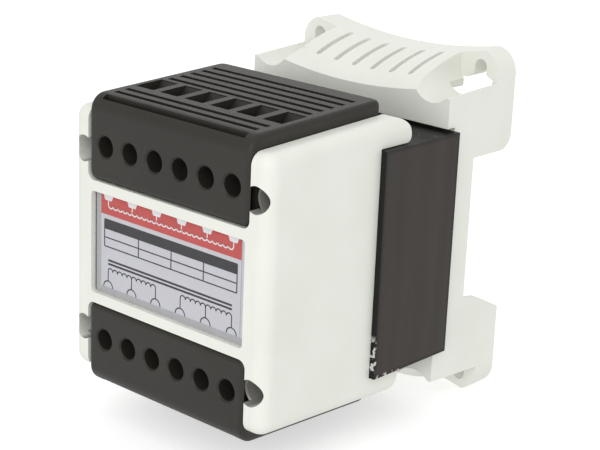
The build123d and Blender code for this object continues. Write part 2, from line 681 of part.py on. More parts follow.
with BuildPart() as mounting_base:
    with BuildSketch(Plane.XZ):
        RectangleRounded(body_width, 2 * ear_top, ear_round)
    extrude(amount=base_front_reach)
    add(saddle(0), mode=Mode.SUBTRACT)
    mirror(saddle(0), about=Plane.XY, mode=Mode.SUBTRACT)

    # Troughs in front of the ears, where the screwdriver lies
    with BuildSketch(Plane.XZ.offset(ear_thickness)):
        with Locations((trough_x, trough_z)):
            Circle(trough_radius)
        with Locations((trough_x - trough_radius, trough_z)):
            Rectangle(reach, reach, align=(Align.MIN, Align.MIN))
        mirror(about=Plane.YZ)
        mirror(about=Plane.XZ)
    extrude(amount=base_front_reach, mode=Mode.SUBTRACT)

    # Outer walls of the troughs, lower towards the front
    ear_lip = trough_lip - trough_taper * ear_thickness / base_front_reach
    for side in (1, -1):
        with BuildSketch(Plane.YZ.offset(side * trough_x)):
            with BuildLine():
                Polyline(
                    (-ear_thickness, ear_lip),
                    (base_front_y, trough_lip - trough_taper),
                    (base_front_y - overcut, trough_lip - trough_taper),
                    (base_front_y - overcut, trough_z),
                    (-ear_thickness, trough_z),
                    close=True,
                )
            make_face()
            mirror(about=Plane.XZ)
        extrude(amount=side * half_width, mode=Mode.SUBTRACT)

    # Hollow, and windows in the trough floors that run on under the ears
    add(hollow.part, mode=Mode.SUBTRACT)
    mirror(hollow.part, about=Plane.XY, mode=Mode.SUBTRACT)
    window_inner_x = trough_x - trough_radius + trough_window_inset
    window_outer_x = half_width - base_wall
    with BuildSketch(Plane.XZ):
        with Locations((window_inner_x, hollow_floor)):
            Rectangle(
                window_outer_x - window_inner_x,
                ear_bottom - hollow_floor,
                align=(Align.MIN, Align.MIN),
            )
        mirror(about=Plane.YZ)
        mirror(about=Plane.XZ)
    extrude(amount=ear_thickness + trough_window_length, mode=Mode.SUBTRACT)

    # Fixing slots in the ears, open towards the hollow with a flared mouth
    with BuildSketch(Plane.XZ):
        with Locations((trough_x, slot_pitch_z / 2)):
            Circle(slot_width / 2)
            Rectangle(slot_width, slot_pitch_z / 2 - ear_bottom, align=(Align.CENTER, Align.MAX))
        mouth_top = ear_bottom + slot_mouth_height
        with BuildLine():
            Polyline(
                (trough_x - slot_mouth_width / 2, ear_bottom),
                (trough_x - slot_width / 2, mouth_top),
                (trough_x + slot_width / 2, mouth_top),
                (trough_x + slot_mouth_width / 2, ear_bottom),
                close=True,
            )
        make_face()
        mirror(about=Plane.YZ)
        mirror(about=Plane.XZ)
    extrude(amount=ear_thickness, mode=Mode.SUBTRACT)

    # Vent grooves through the flared walls
    groove_y = -groove_margin - groove_length / 2
    groove_foot = base_front_mid - top_wall
    for up in (1, -1):
        with BuildSketch(Plane.XY.offset(up * groove_foot)):
            with Locations((0, groove_y)):
                with GridLocations(groove_pitch, 1, groove_count, 1):
                    SlotOverall(groove_length, groove_width, rotation=90)
        extrude(amount=up * base_rear_mid, mode=Mode.SUBTRACT)

    # Recess for the rail, with a wider mouth below
    with BuildSketch(Plane.YZ):
        with BuildLine():
            Polyline(
                (rail_floor_y, rail_bottom),
                (rail_floor_y, rail_top),
                (0, rail_top),
                (0, rail_bottom - rail_mouth_bottom),
                (rail_floor_y + rail_ledge, rail_bottom - rail_ledge_drop),
                close=True,
            )
        make_face()
    extrude(amount=reach, both=True, mode=Mode.SUBTRACT)
    panel_edges = edges().filter_by(Axis.X).filter_by(
        lambda edge: abs(edge.center().Y) < seam_gap and edge.length > body_width - seam_gap
    )
    mouth_edges = panel_edges.sort_by(lambda edge: abs(edge.center().Z))[:2].sort_by(Axis.Z)
    fillet(mouth_edges[1], radius=rail_top_round)
    fillet(mouth_edges[0], radius=rail_bottom_round)

    # Side bays, where only the outer walls stand beside the plates that carry the hooks
    bay_width = window_outer_x - rail_plate_width / 2
    with BuildSketch(Plane.XZ):
        with Locations((window_outer_x, 0)):
            Rectangle(bay_width, 2 * (hollow_floor + overcut), align=(Align.MAX, Align.CENTER))
        mirror(about=Plane.YZ)
    extrude(amount=rail_depth, mode=Mode.SUBTRACT)

    # Fixed hooks that catch the rail's flanges
    nose_y = rail_floor_y + rail_flange
    with BuildSketch(Plane.YZ):
        with BuildLine():
            Polyline(
                (nose_y, rail_top + rail_flange),
                (nose_y, rail_top - hook_nose),
                (nose_y + hook_length, rail_top + rail_flange),
                close=True,
            )
        make_face()
    hook_pair = extrude(amount=hook_width / 2, both=True, mode=Mode.PRIVATE)
    with GridLocations(hook_pitch, 1, 2, 1):
        add(hook_pair)
    with BuildSketch(Plane.YZ):
        with BuildLine():
            Polyline(
                (nose_y, rail_bottom - rail_flange),
                (nose_y, rail_bottom + hook_nose),
                (nose_y + hook_length, rail_bottom - rail_flange),
                close=True,
            )
        make_face()
    extrude(amount=hook_width, both=True)

    # Seat of the core, pocket for the winding, and bosses for the tie screws
    with BuildSketch(Plane.XZ.offset(-seat_y)):
        Rectangle(reach, core_height + 2 * wrap_gap)
    extrude(amount=base_front_reach, mode=Mode.SUBTRACT)
    with BuildSketch(Plane.XZ.offset(-seat_y)):
        Rectangle(body_width - 2 * base_wall, 2 * (former_half + coil_pocket_gap))
    extrude(amount=-(coil_overhang + coil_pocket_gap), mode=Mode.SUBTRACT)
    with BuildSketch(Plane.XZ.offset(-seat_y)):
        with GridLocations(tie_pitch_x, tie_pitch_z, 2, 2):
            Circle(seat_boss_d / 2)
    extrude(amount=-(tie_grip + seat_wall))
    with BuildSketch(Plane.XZ.offset(-seat_y)):
        with GridLocations(tie_pitch_x, tie_pitch_z, 2, 2):
            Circle(seat_bore_d / 2)
    extrude(amount=-(tie_grip + thread_gap), mode=Mode.SUBTRACT)
mounting_base.part.label = "mounting_base"
export_step(mounting_base.part, "parts/mounting_base.step")
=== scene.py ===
import math

import bpy
from mathutils import Euler, Matrix, Vector


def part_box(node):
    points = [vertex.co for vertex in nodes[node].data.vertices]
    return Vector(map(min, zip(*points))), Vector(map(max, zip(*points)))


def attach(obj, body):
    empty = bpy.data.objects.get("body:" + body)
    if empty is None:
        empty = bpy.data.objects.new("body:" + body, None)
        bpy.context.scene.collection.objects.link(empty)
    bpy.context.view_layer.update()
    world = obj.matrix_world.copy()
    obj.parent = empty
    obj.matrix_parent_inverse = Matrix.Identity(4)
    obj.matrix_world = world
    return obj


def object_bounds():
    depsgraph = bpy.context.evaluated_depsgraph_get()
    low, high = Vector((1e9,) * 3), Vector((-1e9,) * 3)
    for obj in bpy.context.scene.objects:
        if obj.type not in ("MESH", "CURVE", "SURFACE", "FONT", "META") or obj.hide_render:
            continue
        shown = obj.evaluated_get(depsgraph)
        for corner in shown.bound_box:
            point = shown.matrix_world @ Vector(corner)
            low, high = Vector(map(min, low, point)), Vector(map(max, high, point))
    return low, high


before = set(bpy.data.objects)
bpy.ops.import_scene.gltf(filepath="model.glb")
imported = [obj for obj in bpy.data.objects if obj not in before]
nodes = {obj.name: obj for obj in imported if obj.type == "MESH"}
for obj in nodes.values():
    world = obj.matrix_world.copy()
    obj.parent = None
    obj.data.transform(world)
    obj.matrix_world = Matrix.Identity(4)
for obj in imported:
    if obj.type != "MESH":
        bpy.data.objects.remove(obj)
cad_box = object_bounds()
MM = 0.001

# Mounting base: one hollow moulding in off-white polyamide with a fine spark-eroded grain.
# It clips on a rail or is screwed down through the slots in its four corner ears.
# The white shell in front is moulded in the same material, so both share this finish.


def new_finish(name):
    """An empty node material with its shader, ready for a piece's own finish."""
    finish = bpy.data.materials.new(name)
    finish.use_nodes = True
    tree = finish.node_tree
    return finish, tree, tree.nodes["Principled BSDF"]


def place_in_object(tree, scale):
    """Object coordinates in metres, multiplied so that one unit is one pattern cell."""
    place = tree.nodes.new("ShaderNodeTexCoord")
    mapping = tree.nodes.new("ShaderNodeMapping")
    mapping.inputs["Scale"].default_value = scale
    tree.links.new(place.outputs["Object"], mapping.inputs["Vector"])
    return mapping.outputs["Vector"]


def cloud(tree, vector, detail=3.0, roughness=0.5):
    """A soft noise field on a pattern space."""
    noise = tree.nodes.new("ShaderNodeTexNoise")
    noise.inputs["Scale"].default_value = 1.0
    noise.inputs["Detail"].default_value = detail
    noise.inputs["Roughness"].default_value = roughness
    tree.links.new(vector, noise.inputs["Vector"])
    return noise.outputs["Fac"]


NOISE_LOW = 0.3
NOISE_HIGH = 0.7


def spread(tree, field, low, high):
    """Carries the usual range of a noise field to a range of values."""
    ramp = tree.nodes.new("ShaderNodeMapRange")
    ramp.inputs["From Min"].default_value = NOISE_LOW
    ramp.inputs["From Max"].default_value = NOISE_HIGH
    ramp.inputs["To Min"].default_value = low
    ramp.inputs["To Max"].default_value = high
    tree.links.new(field, ramp.inputs["Value"])
    return ramp.outputs["Result"]


def two_tones(tree, field, dark, light):
    """Mixes two colours by a noise field."""
    ramp = tree.nodes.new("ShaderNodeValToRGB")
    ramp.color_ramp.elements[0].position = NOISE_LOW
    ramp.color_ramp.elements[0].color = (*dark, 1.0)
    ramp.color_ramp.elements[1].position = NOISE_HIGH
    ramp.color_ramp.elements[1].color = (*light, 1.0)
    tree.links.new(field, ramp.inputs["Fac"])
    return ramp.outputs["Color"]


def raise_grain(tree, field, height, strength):
    """Bump from a field, with its height in metres."""
    bump = tree.nodes.new("ShaderNodeBump")
    bump.inputs["Strength"].default_value = strength
    bump.inputs["Distance"].default_value = height
    tree.links.new(field, bump.inputs["Height"])
    return bump.outputs["Normal"]


TONE_DRIFT = (60.0, 60.0, 60.0)
GRAIN_STRENGTH = 0.35


def moulded_plastic(name, dark, light, rough_low, rough_high, cell, height, gloss=0.5):
    """Moulded plastic: slow tone drift, patchy gloss and a fine eroded grain."""
    finish, tree, shader = new_finish(name)
    drift = cloud(tree, place_in_object(tree, TONE_DRIFT))
    grain = cloud(tree, place_in_object(tree, (1.0 / cell,) * 3), detail=2.0)
    tree.links.new(two_tones(tree, drift, dark, light), shader.inputs["Base Color"])
    tree.links.new(spread(tree, grain, rough_low, rough_high), shader.inputs["Roughness"])
    tree.links.new(raise_grain(tree, grain, height, GRAIN_STRENGTH), shader.inputs["Normal"])
    shader.inputs["Specular IOR Level"].default_value = gloss
    return finish


def dress(finish, *names):
    """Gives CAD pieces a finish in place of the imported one."""
    for name in names:
        piece = nodes[name]
        piece.data.materials.clear()
        piece.data.materials.append(finish)


white_plastic = moulded_plastic(
    "white_plastic",
    dark=(0.735, 0.745, 0.68),
    light=(0.775, 0.785, 0.725),
    rough_low=0.42,
    rough_high=0.56,
    cell=0.35 * MM,
    height=0.012 * MM,
)
dress(white_plastic, "mounting_base")

# Laminated core: interleaved EI sheets of silicon steel, half a millimetre thick.
# The stack is dipped in black varnish, which leaves the sheet edges as faint upright lines
# and chips at the edges, most at the lower front corners. A near-black painted shade lies along
# the edges and over the whole top, bottom, front and rear faces, for the shadow in the gaps to
# the base and the housing.


def calculate(tree, operation, first, second):
    """One arithmetic step between a field and another field or a number."""
    step = tree.nodes.new("ShaderNodeMath")
    step.operation = operation
    for value, socket in ((first, step.inputs[0]), (second, step.inputs[1])):
        if isinstance(value, float):
            socket.default_value = value
        else:
            tree.links.new(value, socket)
    return step.outputs["Value"]


def fade(tree, field, start, end):
    """One at the field's start value, falling to nothing at its end value."""
    ramp = tree.nodes.new("ShaderNodeMapRange")
    ramp.inputs["From Min"].default_value = start
    ramp.inputs["From Max"].default_value = end
    ramp.inputs["To Min"].default_value = 1.0
    ramp.inputs["To Max"].default_value = 0.0
    tree.links.new(field, ramp.inputs["Value"])
    return ramp.outputs["Result"]


def blend_colour(tree, factor, ground, colour):
    """Lays a colour over a coloured ground where the factor is one."""
    mix = tree.nodes.new("ShaderNodeMix")
    mix.data_type = "RGBA"
    tree.links.new(factor, mix.inputs["Factor"])
    tree.links.new(ground, mix.inputs["A"])
    mix.inputs["B"].default_value = (*colour, 1.0)
    return mix.outputs["Result"]


def object_axes(tree):
    """Object coordinates in metres, split into their axes."""
    axes = tree.nodes.new("ShaderNodeSeparateXYZ")
    tree.links.new(place_in_object(tree, (1.0, 1.0, 1.0)), axes.inputs["Vector"])
    return axes.outputs


SHEET = 0.5 * MM
SHEET_LINES = (6.0, 1.0 / SHEET, 6.0)
VARNISH_RUNS = (90.0, 240.0, 14.0)
RAGGED = (700.0, 700.0, 700.0)
SHADE_WIDTH = 0.7 * MM
SHADE_SWAY = -0.8 * MM
SHADE_START = -0.2 * MM
CHIP_NOISE = (0.76, 0.73)
CHIP_BELT = (0.4 * MM, 1.6 * MM)
WEAR_NOISE = (0.41, 0.44)
WEAR_BELT = (0.3 * MM, 0.9 * MM)
WEAR_CORNER = (9.0 * MM, 10.8 * MM)
core_varnish, tree, shader = new_finish("core_varnish")
sheets = cloud(tree, place_in_object(tree, SHEET_LINES), detail=1.0)
runs = cloud(tree, place_in_object(tree, VARNISH_RUNS), detail=4.0)
ragged = cloud(tree, place_in_object(tree, RAGGED), detail=3.0)
core_low, core_high = [tuple(float(value) for value in corner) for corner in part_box("laminated_core")]
axes = object_axes(tree)
from_front = calculate(tree, "SUBTRACT", axes["Y"], core_low[1])
from_rear = calculate(tree, "SUBTRACT", core_high[1], axes["Y"])
from_foot = calculate(tree, "SUBTRACT", axes["Z"], core_low[2])
from_top = calculate(tree, "SUBTRACT", core_high[2], axes["Z"])
edge = calculate(
    tree,
    "MINIMUM",
    calculate(tree, "MINIMUM", from_front, from_rear),
    calculate(tree, "MINIMUM", from_foot, from_top),
)
shade_reach = calculate(tree, "ADD", edge, calculate(tree, "MULTIPLY", ragged, SHADE_SWAY))
# Painted shade: near black along the edges of the side faces and over the whole top, bottom, front and rear
# faces.
painted_shade = fade(tree, shade_reach, SHADE_START, SHADE_WIDTH)
chips = calculate(tree, "MULTIPLY", fade(tree, ragged, *CHIP_NOISE), fade(tree, edge, *CHIP_BELT))
from_corner = calculate(tree, "MAXIMUM", from_front, from_foot)
wear = calculate(tree, "MULTIPLY", fade(tree, ragged, *WEAR_NOISE), fade(tree, edge, *WEAR_BELT))
wear = calculate(tree, "MULTIPLY", wear, fade(tree, from_corner, *WEAR_CORNER))
chips = calculate(tree, "MAXIMUM", chips, wear)
coat = two_tones(tree, runs, (0.0195, 0.0135, 0.0102), (0.0262, 0.0184, 0.0142))
# The painted shade is laid over the varnish tone, before the chips.
coat = blend_colour(tree, painted_shade, coat, (0.0015, 0.0012, 0.001))
coat = blend_colour(tree, chips, coat, (0.55, 0.55, 0.53))
tree.links.new(coat, shader.inputs["Base Color"])
tree.links.new(spread(tree, runs, 0.42, 0.58), shader.inputs["Roughness"])
tree.links.new(raise_grain(tree, sheets, 0.03 * MM, 0.4), shader.inputs["Normal"])
shader.inputs["Specular IOR Level"].default_value = 0.31
dress(core_varnish, "laminated_core")

# Coil former and terminal strips: dark glass-filled polyamide, moulded, a little coarse.
# The former slides over the centre leg, and the strips sit on its end flanges.
former_plastic = moulded_plastic(
    "former_plastic",
    dark=(0.055, 0.056, 0.058),
    light=(0.075, 0.076, 0.078),
    rough_low=0.45,
    rough_high=0.6,
    cell=0.5 * MM,
    height=0.02 * MM,
)
dress(former_plastic, "coil_former", "upper_terminal_strip", "lower_terminal_strip")

# Windings and leads: enamelled copper wire, wound in even layers round the former.
# The leads run up and down to the solder tags in front of the core.
WIRE = 0.6 * MM
WIRE_TURNS = (20.0, 20.0, 1.0 / WIRE)
copper_wire, tree, shader = new_finish("copper_wire")
turns = cloud(tree, place_in_object(tree, WIRE_TURNS), detail=0.0)
tree.links.new(
    two_tones(tree, turns, (0.36, 0.12, 0.045), (0.58, 0.23, 0.09)), shader.inputs["Base Color"]
)
tree.links.new(raise_grain(tree, turns, 0.15 * MM, 0.5), shader.inputs["Normal"])
shader.inputs["Metallic"].default_value = 0.9
shader.inputs["Roughness"].default_value = 0.32
dress(copper_wire, "primary_winding", "secondary_winding", "primary_leads", "secondary_leads")

# Insulating wraps: yellow polyester tape, one layer lapped round each winding.
# The tape holds the turns in their chamber and keeps them off the covers.
coil_tape = moulded_plastic(
    "coil_tape",
    dark=(0.56, 0.36, 0.05),
    light=(0.68, 0.47, 0.08),
    rough_low=0.25,
    rough_high=0.4,
    cell=2.0 * MM,
    height=0.02 * MM,
)
dress(coil_tape, "primary_tape", "secondary_tape")

# Terminals: tinned brass tags under zinc-plated box clamps, each closed by a slotted screw.
# The four tie screws that hold base, core and housing together have the same plating.


DRAWING_MARKS = (2500.0, 200.0, 2500.0)


def plated_metal(name, dark, light, rough_low, rough_high):
    """Plated metal with slight drawing marks along its length."""
    finish, tree, shader = new_finish(name)
    marks = cloud(tree, place_in_object(tree, DRAWING_MARKS), detail=2.0)
    tree.links.new(two_tones(tree, marks, dark, light), shader.inputs["Base Color"])
    tree.links.new(spread(tree, marks, rough_low, rough_high), shader.inputs["Roughness"])
    tree.links.new(raise_grain(tree, marks, 0.01 * MM, 0.3), shader.inputs["Normal"])
    shader.inputs["Metallic"].default_value = 1.0
    return finish


tinned_metal = plated_metal("tinned_metal", (0.52, 0.52, 0.5), (0.68, 0.68, 0.66), 0.3, 0.45)
plated_steel = plated_metal("plated_steel", (0.44, 0.45, 0.46), (0.6, 0.61, 0.62), 0.25, 0.4)
dress(tinned_metal, "upper_solder_tags", "lower_solder_tags")
dress(
    plated_steel,
    "upper_wire_clamps",
    "lower_wire_clamps",
    "upper_clamp_screws",
    "lower_clamp_screws",
    "tie_screws",
)

# Front housing: moulded shell in the base's off-white polyamide, pulled against the core
# by the tie screws, whose driver tunnels notch its front corners. The inner walls of the
# tunnels carry a painted shade, a flat mid grey matched to the shadow deep in these narrow tunnels.
# The photograph shows the inner walls of the notches grey. Their tone is matched to it, and its
# cause isn't known.
TIE_HEAD = 5.6 * MM
TUNNEL_BORE = 6.2 * MM
TUNNEL_SHADE_EDGE = 0.15 * MM
TUNNEL_SHADE_REACH = (-0.3 * MM, 1.2 * MM)
housing_plastic = white_plastic.copy()
housing_plastic.name = "housing_plastic"
tree = housing_plastic.node_tree
shader = tree.nodes["Principled BSDF"]
tie_low, tie_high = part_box("tie_screws")
tie_x = float(tie_high[0] - TIE_HEAD / 2)
tie_z = float(tie_high[2] - TIE_HEAD / 2)
axes = object_axes(tree)
offsets = []
for axis, tie_place in (("X", tie_x), ("Z", tie_z)):
    side = calculate(tree, "ABSOLUTE", axes[axis], 0.0)
    offsets.append(calculate(tree, "SUBTRACT", side, tie_place))
squares = [calculate(tree, "MULTIPLY", offset, offset) for offset in offsets]
from_axis = calculate(tree, "SQRT", calculate(tree, "ADD", *squares), 0.0)
in_tunnel = fade(tree, from_axis, TUNNEL_BORE / 2, TUNNEL_BORE / 2 + TUNNEL_SHADE_EDGE)
# Painted shade: flat grey on the tunnel walls, full on their inner side and fading out just past the screw
# axis.
tunnel_shade = calculate(tree, "MULTIPLY", in_tunnel, fade(tree, offsets[0], *TUNNEL_SHADE_REACH))
unshaded_colour = shader.inputs["Base Color"].links[0].from_socket
# The painted shade is laid over the housing's own tone.
tree.links.new(blend_colour(tree, tunnel_shade, unshaded_colour, (0.27, 0.265, 0.25)), shader.inputs["Base Color"])
dress(housing_plastic, "front_housing")

# Terminal covers: near-black moulded hoods, snapped into the housing above and below the band.
# Their louvred tops carry the wire chutes, and round holes in front let the screwdriver in.
dark_plastic = moulded_plastic(
    "dark_plastic",
    dark=(0.019, 0.017, 0.0135),
    light=(0.024, 0.0215, 0.017),
    rough_low=0.42,
    rough_high=0.57,
    cell=0.3 * MM,
    height=0.012 * MM,
    gloss=0.315,
)
dress(dark_plastic, "upper_terminal_cover", "lower_terminal_cover")

# Driver guides: short tubes moulded on the inside of the covers, one round each hole.
# They lead the screwdriver to the clamp screws and keep fingers and tools off the rest.
TERMINAL_COUNT = 6
TERMINAL_PITCH = 8.1 * MM
GUIDE_BORE = 5.0 * MM
GUIDE_WALL = 0.8 * MM
COVER_WALL = 1.8 * MM
GUIDE_GAP = 0.4 * MM
FACING = (math.radians(90.0), 0.0, 0.0)
SMOOTH_ANGLE = math.radians(40.0)
terminal_x = [(i - (TERMINAL_COUNT - 1) / 2) * TERMINAL_PITCH for i in range(TERMINAL_COUNT)]


def clear_selection():
    """Leaves nothing selected, so that an operator touches only the piece that it makes."""
    for selected in bpy.context.selected_objects:
        selected.select_set(False)


def join_pieces(parts, name):
    """Joins modelled parts into one piece with its origin in the frame's origin."""
    clear_selection()
    for part in parts:
        part.select_set(True)
    bpy.context.view_layer.objects.active = parts[0]
    if len(parts) > 1:
        bpy.ops.object.join()
    bpy.ops.object.transform_apply(location=True, rotation=True, scale=True)
    piece = bpy.context.object
    piece.name = name
    piece.data.name = name
    return piece


def raise_wall(piece, length, thickness):
    """Draws an outline out to the rear and gives the wall its thickness on the inside."""
    bpy.ops.object.mode_set(mode="EDIT")
    bpy.ops.mesh.select_all(action="SELECT")
    bpy.ops.mesh.extrude_region_move(TRANSFORM_OT_translate={"value": (0.0, length, 0.0)})
    bpy.ops.mesh.select_all(action="SELECT")
    bpy.ops.mesh.normals_make_consistent(inside=False)
    bpy.ops.object.mode_set(mode="OBJECT")
    wall = piece.modifiers.new("wall", "SOLIDIFY")
    wall.thickness = thickness
    wall.offset = -1.0
    bpy.ops.object.modifier_apply(modifier=wall.name)
    bpy.ops.object.shade_smooth_by_angle(angle=SMOOTH_ANGLE)


def copy_part(part, place):
    """A copy of a modelled part with a mesh of its own, moved by the given step."""
    twin = part.copy()
    twin.data = part.data.copy()
    twin.location = part.location + Vector(place)
    bpy.context.scene.collection.objects.link(twin)
    return twin


def turn_over(piece):
    """Turns a piece's mesh half round the depth axis, as the lower cover is turned to the upper one."""
    clear_selection()
    piece.select_set(True)
    bpy.context.view_layer.objects.active = piece
    bpy.ops.object.mode_set(mode="EDIT")
    bpy.ops.mesh.select_all(action="SELECT")
    bpy.ops.transform.rotate(value=math.radians(180.0), orient_axis="Y", center_override=(0.0, 0.0, 0.0))
    bpy.ops.object.mode_set(mode="OBJECT")
    return piece


def fit_piece(piece, finish):
    """Dresses a new piece and fixes it to the one body."""
    piece.data.materials.clear()
    piece.data.materials.append(finish)
    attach(piece, "root")


for row in ("upper", "lower"):
    screws_low, screws_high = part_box(f"{row}_clamp_screws")
    row_z = (screws_low[2] + screws_high[2]) / 2
    guide_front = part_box(f"{row}_terminal_cover")[0][1] + COVER_WALL
    guide_length = screws_low[1] - GUIDE_GAP - guide_front
    clear_selection()
    bpy.ops.mesh.primitive_circle_add(
        vertices=48,
        radius=GUIDE_BORE / 2 + GUIDE_WALL,
        location=(terminal_x[0], guide_front, row_z),
        rotation=FACING,
    )
    guide = bpy.context.object
    raise_wall(guide, guide_length, GUIDE_WALL)
    guides = [guide]
    for x in terminal_x[1:]:
        guides.append(copy_part(guide, (x - terminal_x[0], 0.0, 0.0)))
    fit_piece(join_pieces(guides, f"{row}_driver_guides"), dark_plastic)

# Entry ramps: the sloped rear wall of each wire entry, in one piece with the cover.
# The slope is a reading of the light rear walls in the photograph, and it would lead the ferrule
# of a wire down and forward into the mouth of its clamp.
ENTRY_WIDTH = 5.9 * MM
ENTRY_REAR = 20.25 * MM
COVER_SLOPE = math.radians(2.35)
RAMP_SINK = 0.2 * MM
RAMP_HEIGHT = 2.6 * MM
RAMP_SLOPE = math.radians(36.0)
RAMP_ROOT = 0.1 * MM
RAMP_NOSE = 0.2 * MM
cover_low, cover_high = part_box("upper_terminal_cover")
ramp_rear = cover_low[1] + ENTRY_REAR + RAMP_ROOT
ramp_top = cover_high[2] - math.tan(COVER_SLOPE) * (cover_high[1] - ramp_rear) - RAMP_SINK
ramp_depth = RAMP_HEIGHT * math.tan(RAMP_SLOPE) + RAMP_ROOT
ramp_middle = (terminal_x[0], ramp_rear - ramp_depth / 2, ramp_top - RAMP_HEIGHT / 2)
clear_selection()
bpy.ops.mesh.primitive_cube_add(size=1.0, location=ramp_middle)
ramp = bpy.context.object
bpy.ops.object.mode_set(mode="EDIT")
bpy.ops.transform.resize(
    value=(ENTRY_WIDTH + 2 * RAMP_ROOT, ramp_depth, RAMP_HEIGHT), center_override=ramp_middle
)
bpy.ops.mesh.select_all(action="DESELECT")
bpy.ops.object.mode_set(mode="OBJECT")
for edge in ramp.data.edges:
    ends = [ramp.matrix_world @ ramp.data.vertices[i].co for i in edge.vertices]
    edge.select = all(end.y < ramp_middle[1] and end.z > ramp_middle[2] for end in ends)
bpy.ops.object.mode_set(mode="EDIT")
bpy.ops.transform.translate(value=(0.0, ramp_depth - RAMP_ROOT, 0.0))
bpy.ops.mesh.select_all(action="DESELECT")
bpy.ops.object.mode_set(mode="OBJECT")
for edge in ramp.data.edges:
    ends = [ramp.matrix_world @ ramp.data.vertices[i].co for i in edge.vertices]
    edge.select = all(end.y < ramp_middle[1] and end.z < ramp_middle[2] for end in ends)
bpy.ops.object.mode_set(mode="EDIT")
bpy.ops.mesh.bevel(offset=RAMP_NOSE, segments=3)
bpy.ops.object.mode_set(mode="OBJECT")
ramps = [ramp]
for x in terminal_x[1:]:
    ramps.append(copy_part(ramp, (x - terminal_x[0], 0.0, 0.0)))
upper_ramps = join_pieces(ramps, "upper_entry_ramps")
lower_ramps = turn_over(copy_part(upper_ramps, (0.0, 0.0, 0.0)))
lower_ramps.name = "lower_entry_ramps"
lower_ramps.data.name = "lower_entry_ramps"
fit_piece(upper_ramps, dark_plastic)
fit_piece(lower_ramps, dark_plastic)

# Tunnel skins: thin moulded skins that close the driver tunnels off from the flanks of the covers.
# They belong to the housing and stand at the two tie screws that have no tube of their own.
SKIN = 0.3 * MM
SKIN_RADIUS = 4.2 * MM
SKIN_START = 2.6 * MM
COVER_GAP = 0.1 * MM
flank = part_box("upper_terminal_cover")[1][0] + COVER_GAP
skin_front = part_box("front_housing")[0][1] + SKIN_START
skin_length = tie_low[1] - GUIDE_GAP - skin_front
skin_middle = flank + SKIN_RADIUS
bore_side = SKIN_RADIUS ** 2 - (TUNNEL_BORE / 2) ** 2
skin_edge = (skin_middle + tie_x - bore_side / (skin_middle - tie_x)) / 2
clear_selection()
bpy.ops.mesh.primitive_circle_add(
    vertices=96,
    radius=SKIN_RADIUS,
    location=(skin_middle, skin_front, tie_z),
    rotation=FACING,
)
skin = bpy.context.object
bpy.ops.object.mode_set(mode="EDIT")
bpy.ops.mesh.select_all(action="SELECT")
bpy.ops.mesh.bisect(plane_co=(skin_edge, 0.0, 0.0), plane_no=(1.0, 0.0, 0.0), clear_outer=True)
bpy.ops.object.mode_set(mode="OBJECT")
raise_wall(skin, skin_length, SKIN)
bpy.ops.object.transform_apply(location=True, rotation=True, scale=True)
twin = turn_over(copy_part(skin, (0.0, 0.0, 0.0)))
# Lying in the tunnels, the skins take the housing's painted shade all over.
fit_piece(join_pieces([skin, twin], "tunnel_skins"), housing_plastic)

# Rating label: satin polyester film with a lilac-grey ground, laid in the band's recess.
# Its print is a few flat inks: a red heading, white tabs at the terminals, ruled fields left
# empty and a plain winding diagram, each ink laid on in one pass over the whole film.
UNDER_WINDOW = 0.1
FILM_CLOUD = (300.0, 300.0, 300.0)
label_print, tree, shader = new_finish("label_print")
film = cloud(tree, place_in_object(tree, FILM_CLOUD))
tree.links.new(
    two_tones(tree, film, (0.53, 0.53, 0.565), (0.542, 0.542, 0.577)), shader.inputs["Base Color"]
)
tree.links.new(spread(tree, film, 0.42, 0.5), shader.inputs["Roughness"])
shader.inputs["Specular IOR Level"].default_value = UNDER_WINDOW
dress(label_print, "rating_label")

INK = 0.02 * MM
INK_CLOUD = (450.0, 450.0, 450.0)
LEFT_RIM = 1.9 * MM
RIGHT_RIM = 1.9 * MM
FOOT_RIM = 1.7 * MM
HEADING_HEIGHT = 5.1 * MM
label_low, label_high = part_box("rating_label")
label_face = label_low[1]
label_half = label_high[0]
label_top = label_high[2]
field_left = LEFT_RIM - label_half
field_right = label_half - RIGHT_RIM
field_foot = FOOT_RIM - label_top
heading_foot = label_top - HEADING_HEIGHT


def print_ink(name, dark, light):
    """A flat screen-printed ink: slight drift of tone and a satin face."""
    finish, tree, shader = new_finish(name)
    body = cloud(tree, place_in_object(tree, INK_CLOUD))
    tree.links.new(two_tones(tree, body, dark, light), shader.inputs["Base Color"])
    tree.links.new(spread(tree, body, 0.38, 0.5), shader.inputs["Roughness"])
    shader.inputs["Specular IOR Level"].default_value = UNDER_WINDOW
    return finish


def ink_field(left, foot, right, top, layer=0):
    """A rectangle of ink on the label's face between its four edges."""
    middle = ((left + right) / 2, label_face - layer * INK, (foot + top) / 2)
    clear_selection()
    bpy.ops.mesh.primitive_plane_add(size=1.0, location=middle, rotation=FACING)
    bpy.ops.object.mode_set(mode="EDIT")
    bpy.ops.transform.resize(value=(right - left, 1.0, top - foot), center_override=middle)
    bpy.ops.object.mode_set(mode="OBJECT")
    return bpy.context.object


def ink_arch(x, foot, radius, line, layer=0, hanging=False):
    """A half ring of ink drawn with one line, standing on its foot or hanging from it."""
    middle = (x, label_face - layer * INK, foot)
    clear_selection()
    bpy.ops.mesh.primitive_circle_add(
        vertices=40, radius=radius, fill_type="NGON", location=middle, rotation=FACING
    )
    bpy.ops.object.mode_set(mode="EDIT")
    bpy.ops.mesh.inset(thickness=line)
    bpy.ops.mesh.delete(type="FACE")
    bpy.ops.mesh.select_all(action="SELECT")
    bpy.ops.mesh.bisect(
        plane_co=middle, plane_no=(0.0, 0.0, 1.0), clear_inner=not hanging, clear_outer=hanging
    )
    bpy.ops.object.mode_set(mode="OBJECT")
    return bpy.context.object


def lay_ink(parts, name, finish):
    """Gives the fields and lines of one ink their thickness and lays them on the label."""
    piece = join_pieces(parts, name)
    coat = piece.modifiers.new("coat", "SOLIDIFY")
    coat.thickness = INK
    coat.offset = 1.0
    bpy.ops.object.modifier_apply(modifier=coat.name)
    fit_piece(piece, finish)
